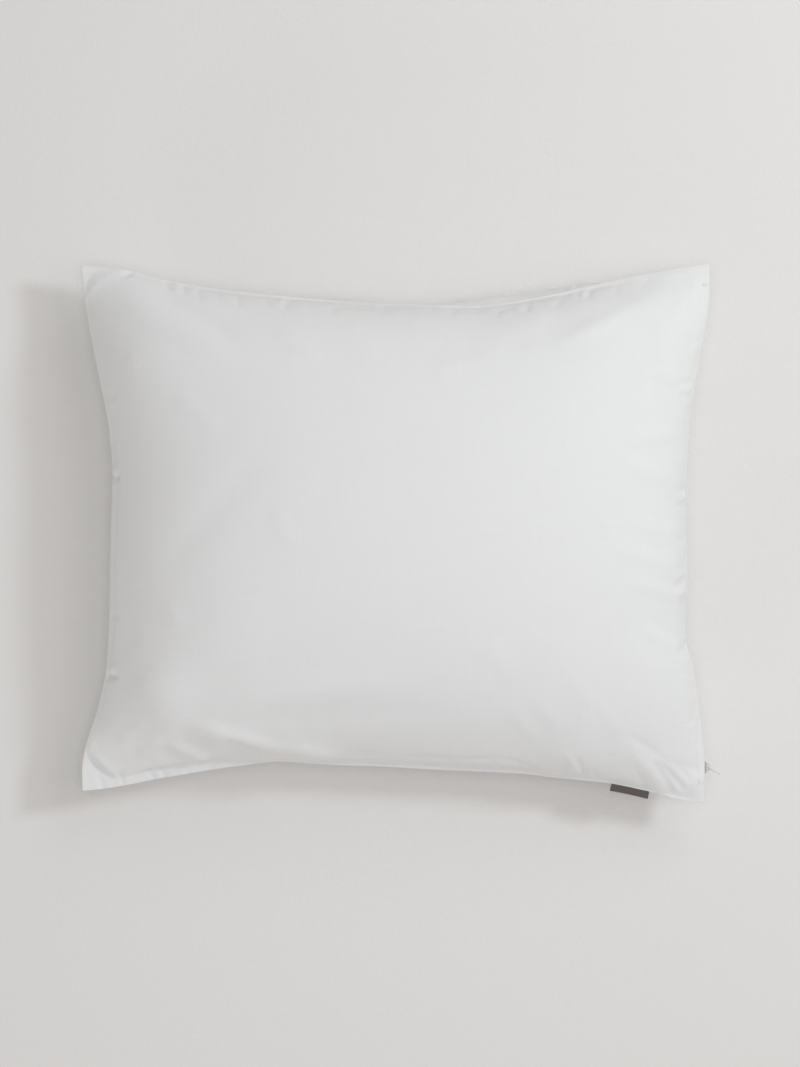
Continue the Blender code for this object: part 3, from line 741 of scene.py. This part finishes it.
def plain_weave():
    """The node group for threads that pass over and under one another, one by one.

    Position is in millimetres on the flat cloth and so are the pitches. Unevenness is the share
    by which thick and thin threads change the colour. The gap colour is painted shade, laid on
    where the threads dip between their crossings.
    """
    tree, given, shown = shader_group(
        "plain_weave", (("Position", 'Vector'), ("Warp Pitch", 'Float'), ("Weft Pitch", 'Float'),
                        ("Thread Colour", 'Color'), ("Gap Colour", 'Color'),
                        ("Unevenness", 'Float'), ("Roughness", 'Float')),
        (("Colour", 'Color'), ("Roughness", 'Float'), ("Height", 'Float')))
    place = linked(tree, "SeparateXYZ", {"Vector": given["Position"]}).outputs
    waves = [maths(tree, 'SINE', maths(tree, 'MULTIPLY', math.pi, maths(
        tree, 'DIVIDE', place[axis], given[pitch])))
        for axis, pitch in (("X", "Warp Pitch"), ("Y", "Weft Pitch"))]
    warp_round, weft_round = (maths(tree, 'ABSOLUTE', wave) for wave in waves)
    crossing = maths(tree, 'MULTIPLY', *waves)
    warp_on_top = maths(tree, 'MULTIPLY_ADD', crossing, 0.5, 0.5)
    difference = maths(tree, 'SUBTRACT', warp_round, weft_round)
    height = maths(tree, 'MULTIPLY_ADD', difference, warp_on_top, weft_round)
    # Painted shade: where the threads dip low between their crossings, the colour darkens towards
    # the gap colour and the roughness rises.
    gap = maths(tree, 'POWER', maths(tree, 'SUBTRACT', 1.0, height), 2.0)
    colour = blend(tree, gap, given["Thread Colour"], given["Gap Colour"])
    streaks = maths(tree, 'ADD', *(thread_run(tree, given["Position"], *row) for row in (
        (THREAD_STREAK, WARP_STREAK_LENGTH, 1.0), (WEFT_STREAK_LENGTH, THREAD_STREAK, 2.0))))
    shade = maths(tree, 'MULTIPLY_ADD', maths(tree, 'SUBTRACT', streaks, 1.0),
                  given["Unevenness"], 1.0)
    shaded = linked(tree, "VectorMath", {0: colour, 1: shade}, operation='MULTIPLY')
    tree.links.new(shaded.outputs[0], shown["Colour"])
    tree.links.new(maths(tree, 'MULTIPLY_ADD', gap, 0.1, given["Roughness"]), shown["Roughness"])
    tree.links.new(height, shown["Height"])
    return tree


CLOTH_SHEEN_ROUGHNESS = 0.5
CLOTH_SPECULAR = 0.2


def cloth_material(name, weave, rise, sheen, **values):
    """A woven material. Its weave stands this high, in millimetres; values go to the group."""
    made, shader = principled(name)
    tree = made.node_tree
    flat = linked(tree, "UVMap", uv_map="cut").outputs["UV"]
    place = linked(tree, "VectorMath", {0: flat, "Scale": 1 / MM}, operation='SCALE')
    given = {socket.replace("_", " ").title(): value for socket, value in values.items()}
    given["Position"] = place.outputs["Vector"]
    woven = linked(tree, "Group", given, node_tree=weave)
    bump = linked(tree, "Bump", {"Height": woven.outputs["Height"], "Distance": rise * MM,
                                 "Strength": 1.0})
    tree.links.new(woven.outputs["Colour"], shader.inputs["Base Color"])
    tree.links.new(woven.outputs["Roughness"], shader.inputs["Roughness"])
    tree.links.new(bump.outputs["Normal"], shader.inputs["Normal"])
    shader.inputs["Sheen Weight"].default_value = sheen
    shader.inputs["Sheen Roughness"].default_value = CLOTH_SHEEN_ROUGHNESS
    shader.inputs["Specular IOR Level"].default_value = CLOTH_SPECULAR
    return made, bump


# The percale: fine yarns close together, so the weave only softens the light on it, with a
# faint painted shade in its gaps. Below the weave, the cloth keeps the faint unevenness of a
# washed and tumbled cotton.
CRUMPLE_SIZE = 13.0
CRUMPLE_RISE = 0.10
weave = plain_weave()
cotton, cotton_bump = cloth_material(
    "white_percale", weave, 0.05, 0.05, warp_pitch=0.40, weft_pitch=0.44, unevenness=0.05,
    thread_colour=(0.845, 0.845, 0.845, 1), gap_colour=(0.78, 0.78, 0.775, 1), roughness=0.85)
crumple_bump = linked(cotton.node_tree, "Bump", {
    "Height": grain(cotton.node_tree, 1 / (CRUMPLE_SIZE * MM), 2.0),
    "Distance": CRUMPLE_RISE * MM, "Strength": 1.0})
cotton.node_tree.links.new(crumple_bump.outputs["Normal"], cotton_bump.inputs["Normal"])
cover_mesh.materials.append(cotton)
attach(cover, "root")
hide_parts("cover")

# ------------------------------------------------------------------------------------------
# The topstitching: cotton thread that holds the zip's folded lips flat, one line along each
# panel, and a bar tack across each end of the opening.
# ------------------------------------------------------------------------------------------
STITCH_LENGTH = 2.4
STITCH_SPACING = 3.0
STITCH_WIDTH = 0.6
STITCH_RISE = 0.08                     # of a stitch's middle over the cloth
STITCH_FLATNESS = 0.5                  # its thickness, as a share of its width
STITCH_TIP = 0.06                      # how blunt its ends are, 0 to 1
STITCH_SHARES = (0.0, 0.12, 0.35, 0.65, 0.88, 1.0)   # of its length, where its rings stand
RING_POINTS = 6                        # round a thread or a wire
STITCH_FIRST, STITCH_LAST = 0.042, 0.958   # shares of the panel's height
FACING = (0.25, 0.0, 0.97)             # about the way that the front faces beside the zip
TACK_STITCHES = 8
TACK_SPACING = 0.52
TACK_FIRST, TACK_LAST = 0.8, 7.0       # a bar tack's ends, from the edge


def beside_zip_line(panel, inset):
    """A line on a panel that keeps this far in from the zip's edge."""
    from_edge = lengths_from(panel, 1, True)
    return np.array([[np.interp(inset, depth[::-1], points[::-1, axis]) for axis in range(3)]
                     for depth, points in zip(from_edge, panel)])


def steps_along(line):
    """The length along a line at each of its points."""
    return np.r_[0, np.linalg.norm(np.diff(line, axis=0), axis=1).cumsum()]


def place_on(line, steps, at):
    """The places at these lengths along a line."""
    return np.stack([np.interp(at, steps, line[:, axis]) for axis in range(3)], axis=-1)


RING_ANGLES = np.arange(RING_POINTS) * math.tau / RING_POINTS


def stitch(start, end, facing):
    """The rings of points of a stitch between two places, thickest and highest midway."""
    run = end - start
    side = np.cross(unit(run), facing)
    rings = []
    for share in STITCH_SHARES:
        bulge = math.sqrt(max(STITCH_TIP, 1 - (2 * share - 1) ** 4))
        middle = start + run * share + facing * (STITCH_RISE * bulge)
        radius = STITCH_WIDTH / 2 * bulge
        ring = np.outer(np.cos(RING_ANGLES), side)
        ring += STITCH_FLATNESS * np.outer(np.sin(RING_ANGLES), facing)
        rings.append(middle + radius * ring)
    return np.array(rings)


def tubes(name, all_rings):
    """A mesh of closed tubes, each from its rings of points in millimetres."""
    points, faces, count = [], [], 0
    for rings in all_rings:
        number = np.arange(rings.shape[0] * rings.shape[1]).reshape(rings.shape[:2]) + count
        sides = quads(np.concatenate((number, number[:, :1]), axis=1))
        faces += sides.tolist() + [number[0][::-1].tolist(), number[-1].tolist()]
        points.append(rings.reshape(-1, 3))
        count += number.size
    mesh = bpy.data.meshes.new(name)
    mesh.from_pydata(np.concatenate(points) * MM, [], faces)
    closed = bmesh.new()
    closed.from_mesh(mesh)
    bmesh.ops.recalc_face_normals(closed, faces=closed.faces)
    closed.to_mesh(mesh)
    closed.free()
    mesh.shade_smooth()
    return mesh


stitches = []
for panel, upward in ((front, 1), (back, -1)):
    line = beside_zip_line(panel, TOPSTITCH_INSET)
    steps = steps_along(line)
    first, last = np.interp((STITCH_FIRST, STITCH_LAST), fine_up[:, 0], steps)
    facing = np.array(FACING) * (1, 1, upward)
    for begin in np.arange(first, last - STITCH_LENGTH, STITCH_SPACING):
        ends = place_on(line, steps, (begin, begin + STITCH_LENGTH))
        stitches.append(stitch(*ends, facing))
    near, far = beside_zip_line(panel, TACK_FIRST), beside_zip_line(panel, TACK_LAST)
    for end, onward in ((first, -1), (last, 1)):
        for number in range(TACK_STITCHES):
            at = end + onward * number * TACK_SPACING
            stitches.append(stitch(place_on(near, steps, at), place_on(far, steps, at), facing))
topstitching = into_scene("zip_topstitching", tubes("zip_topstitching", stitches))

# Plied cotton thread: fine slanting ridges, and painted shade, a soft darkening of its colour,
# in the valleys between them.
THREAD_COLOUR = (0.88, 0.88, 0.875)
THREAD_VALLEY_SHADE = tuple(0.95 * part for part in THREAD_COLOUR)
THREAD_TWIST = 0.5                     # from one ridge to the next
THREAD_RIDGE = 0.03
white_thread, shader = principled("white_thread")
tree = white_thread.node_tree
ply = linked(tree, "TexWave", {
    "Vector": linked(tree, "TexCoord").outputs["Object"], "Scale": 1 / (THREAD_TWIST * MM),
    "Distortion": 2.0, "Detail": 1.0}, bands_direction='DIAGONAL').outputs["Fac"]
tree.links.new(blend(tree, ply, (*THREAD_VALLEY_SHADE, 1), (*THREAD_COLOUR, 1)),
               shader.inputs["Base Color"])
thread_bump = linked(tree, "Bump", {"Height": ply, "Distance": THREAD_RIDGE * MM})
tree.links.new(thread_bump.outputs["Normal"], shader.inputs["Normal"])
tree.links.new(maths(tree, 'MULTIPLY_ADD', ply, -0.1, 0.75), shader.inputs["Roughness"])
topstitching.data.materials.append(white_thread)
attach(topstitching, "root")

# ------------------------------------------------------------------------------------------
# The zip: a nylon coil on two woven tapes, sewn in along the whole right side between the
# folded lips, so that it shows only from beside the cover.
# ------------------------------------------------------------------------------------------
ZIP_FIRST, ZIP_LAST = 0.050, 0.950     # shares of the right side
ZIP_PATH_POINTS = 150
TAPE_OUT, TAPE_IN = -1.45, -1.85       # the tapes' faces, from the seam line
TAPE_EDGE, TAPE_REACH = 0.35, 3.0      # from the zip's middle
COIL_OUT = -0.85                       # the coil's middle, from the seam line
COIL_HALF_DEPTH = 0.42
COIL_MIDDLE, COIL_HALF_WIDTH = 0.85, 1.15  # of one side's loops, up from the zip's middle
COIL_WIRE = 0.5
COIL_PITCH = 1.3
COIL_POINTS = 8                        # for each turn
COIL_STARTS = {1: 0.25, -1: 0.75}      # of a turn, so that the upper and lower loops alternate

zip_share = np.linspace(ZIP_FIRST, ZIP_LAST, ZIP_PATH_POINTS)
zip_path = seam("right", zip_share)
zip_out = beside(np.gradient(zip_path, axis=0))
zip_steps = steps_along(zip_path)


def at_zip(along, outwards, upwards):
    """Points beside the zip's middle line, at lengths along it."""
    points = place_on(zip_path, zip_steps, along)
    points += place_on(zip_out, zip_steps, along) * np.asarray(outwards)[..., None]
    points[..., 2] += upwards
    return points


TAPE_SECTION = ((TAPE_OUT, TAPE_EDGE), (TAPE_OUT, TAPE_REACH), (TAPE_IN, TAPE_REACH),
                (TAPE_IN, TAPE_EDGE))
tapes = [np.stack([at_zip(zip_steps, reach, height * side_up) for reach, height in TAPE_SECTION],
                  axis=1) for side_up in (1, -1)]
zip_tape = into_scene("zip_tape", tubes("zip_tape", tapes))
tape_place = [(length, height) for length in zip_steps for _, height in TAPE_SECTION]
lay_out(zip_tape.data, np.array(tape_place * len(tapes)))
# The weave's gap colour here is painted shade between the tape's threads.
tape_cloth, _ = cloth_material(
    "zip_tape_weave", weave, 0.08, 0.0, warp_pitch=0.55, weft_pitch=0.40, unevenness=0.05,
    thread_colour=(0.78, 0.78, 0.77, 1), gap_colour=(0.55, 0.55, 0.54, 1), roughness=0.8)
zip_tape.data.materials.append(tape_cloth)

coils = []
turns = zip_steps[-1] / COIL_PITCH
for side_up in (1, -1):
    turn = np.arange(int(turns * COIL_POINTS)) / COIL_POINTS
    angle = math.tau * turn
    along = (turn + COIL_STARTS[side_up]) * COIL_PITCH
    points = at_zip(along, COIL_OUT + COIL_HALF_DEPTH * np.sin(angle),
                    side_up * (COIL_MIDDLE - COIL_HALF_WIDTH * np.cos(angle)))
    run = unit(np.gradient(points, axis=0))
    side = unit(np.cross(run, at_zip(along, 1, 0) - at_zip(along, 0, 0)))
    across_wire = np.cross(run, side)
    ring = side[:, None] * np.cos(RING_ANGLES)[:, None]
    ring += across_wire[:, None] * np.sin(RING_ANGLES)[:, None]
    coils.append(points[:, None] + COIL_WIRE / 2 * ring)
zip_coil = into_scene("zip_coil", tubes("zip_coil", coils))

# Milky nylon: a little clearer and darker in some places than in others.
NYLON_CLEAR = (0.70, 0.70, 0.69)
NYLON_MILKY = (0.82, 0.82, 0.81)
NYLON_CLOUDS = 900.0                   # to the metre
nylon, shader = principled("white_nylon")
tree = nylon.node_tree
cloudy = grain(tree, NYLON_CLOUDS, 2.0)
tree.links.new(blend(tree, cloudy, (*NYLON_CLEAR, 1), (*NYLON_MILKY, 1)),
               shader.inputs["Base Color"])
tree.links.new(maths(tree, 'MULTIPLY_ADD', cloudy, 0.2, 0.25), shader.inputs["Roughness"])
zip_coil.data.materials.append(nylon)
for piece in (zip_tape, zip_coil):
    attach(piece, "root")
    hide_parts("zip_chain")

# ------------------------------------------------------------------------------------------
# The slider and its pull: die-cast zinc with a dull nickel plate, rubbed brighter in soft random
# patches. The slider stands near the lower end, with the pull hanging.
# ------------------------------------------------------------------------------------------
METAL_DARK = (0.38, 0.375, 0.37)
METAL_BRIGHT = (0.66, 0.655, 0.65)
RUBBED_PATCHES = 420.0                 # to the metre
SCUFFS = 2600.0
SCUFF_DEPTH = 0.02

nickel, shader = principled("dull_nickel")
tree = nickel.node_tree
rubbed = grain(tree, RUBBED_PATCHES, 4.0)
scuff_bump = linked(tree, "Bump", {"Height": grain(tree, SCUFFS, 2.0),
                                   "Distance": SCUFF_DEPTH * MM})
tree.links.new(blend(tree, rubbed, (*METAL_DARK, 1), (*METAL_BRIGHT, 1)),
               shader.inputs["Base Color"])
tree.links.new(scuff_bump.outputs["Normal"], shader.inputs["Normal"])
tree.links.new(maths(tree, 'MULTIPLY_ADD', rubbed, -0.25, 0.55), shader.inputs["Roughness"])
shader.inputs["Metallic"].default_value = 1.0
for node in ("zip_slider", "zip_pull"):
    bpy.data.objects[node].data.materials.clear()
    bpy.data.objects[node].data.materials.append(nickel)

# ------------------------------------------------------------------------------------------
# The label: a short length of dark taupe ribbed ribbon, folded once and caught by its two cut
# ends in the bottom seam. It is left bare.
# ------------------------------------------------------------------------------------------
LABEL_FIRST, LABEL_LAST = 0.8513, 0.9124   # shares of the bottom side
LABEL_REACH = 7.3                      # of the ribbon's middle line, out of the seam
LABEL_ROOT = -0.8                      # where its ends disappear between the cloths
RIBBON_THICKNESS = 0.35
LABEL_LOOP = 0.42                      # half of the height of the folded end
LABEL_PINCH = 0.2                      # the same where the seam presses the ribbon flat
LABEL_PINCH_REACH = 3.0
LABEL_CELLS = 36
LABEL_FOLD_POINTS = 9                  # on each layer, and round the fold
LABEL_LIFT = 0.35                      # of the free corners over the free edge's middle
LABEL_SAG = 0.4                        # share of that by which the middle sinks

label_turn = np.linspace(-math.pi / 2, math.pi / 2, LABEL_FOLD_POINTS)
layer_out = np.linspace(LABEL_ROOT, LABEL_REACH - LABEL_LOOP, LABEL_FOLD_POINTS)
opening = ease((layer_out - LABEL_ROOT) / LABEL_PINCH_REACH)
pinch = LABEL_PINCH + (LABEL_LOOP - LABEL_PINCH) * opening
fold_line = np.concatenate((
    np.stack((layer_out, -pinch), -1),
    np.stack((LABEL_REACH - LABEL_LOOP + LABEL_LOOP * np.cos(label_turn),
              LABEL_LOOP * np.sin(label_turn)), -1)[1:-1],
    np.stack((layer_out, pinch), -1)[::-1]))
fold_side = beside(np.gradient(fold_line, axis=0))[:, :2] * RIBBON_THICKNESS / 2
fold_length = steps_along(fold_line)

label_share = np.linspace(LABEL_FIRST, LABEL_LAST, LABEL_CELLS + 1)
label_root = seam("bottom", label_share)
label_width = steps_along(label_root)
label_run = unit(label_root[-1] - label_root[0])
label_out = np.array((label_run[1], -label_run[0], 0.0))
place_across = label_width / label_width[-1] * 2 - 1
sections = []
for root, place in zip(label_root, place_across):
    outline = np.concatenate((fold_line + fold_side, (fold_line - fold_side)[::-1]))
    curl = LABEL_LIFT * (outline[:, 0] / LABEL_REACH) ** 2 * (abs(place) ** 3 - LABEL_SAG)
    points = root + label_out * outline[:, :1]
    points[:, 2] += outline[:, 1] + curl
    sections.append(points)
label = into_scene("folded_label", tubes("folded_label", [np.array(sections)]))
ribbon_place = np.concatenate((fold_length, fold_length[::-1]))
lay_out(label.data, np.stack((np.repeat(label_width, len(ribbon_place)),
                              np.tile(ribbon_place, len(label_width))), axis=-1))
# The weave's gap colour here is painted shade between the ribbon's ribs.
ribbon, _ = cloth_material(
    "taupe_ribbon", weave, 0.10, 0.0, warp_pitch=0.30, weft_pitch=0.75, unevenness=0.10,
    thread_colour=(0.135, 0.112, 0.112, 1), gap_colour=(0.07, 0.057, 0.057, 1), roughness=0.7)
label.data.materials.append(ribbon)
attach(label, "root")
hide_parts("label")
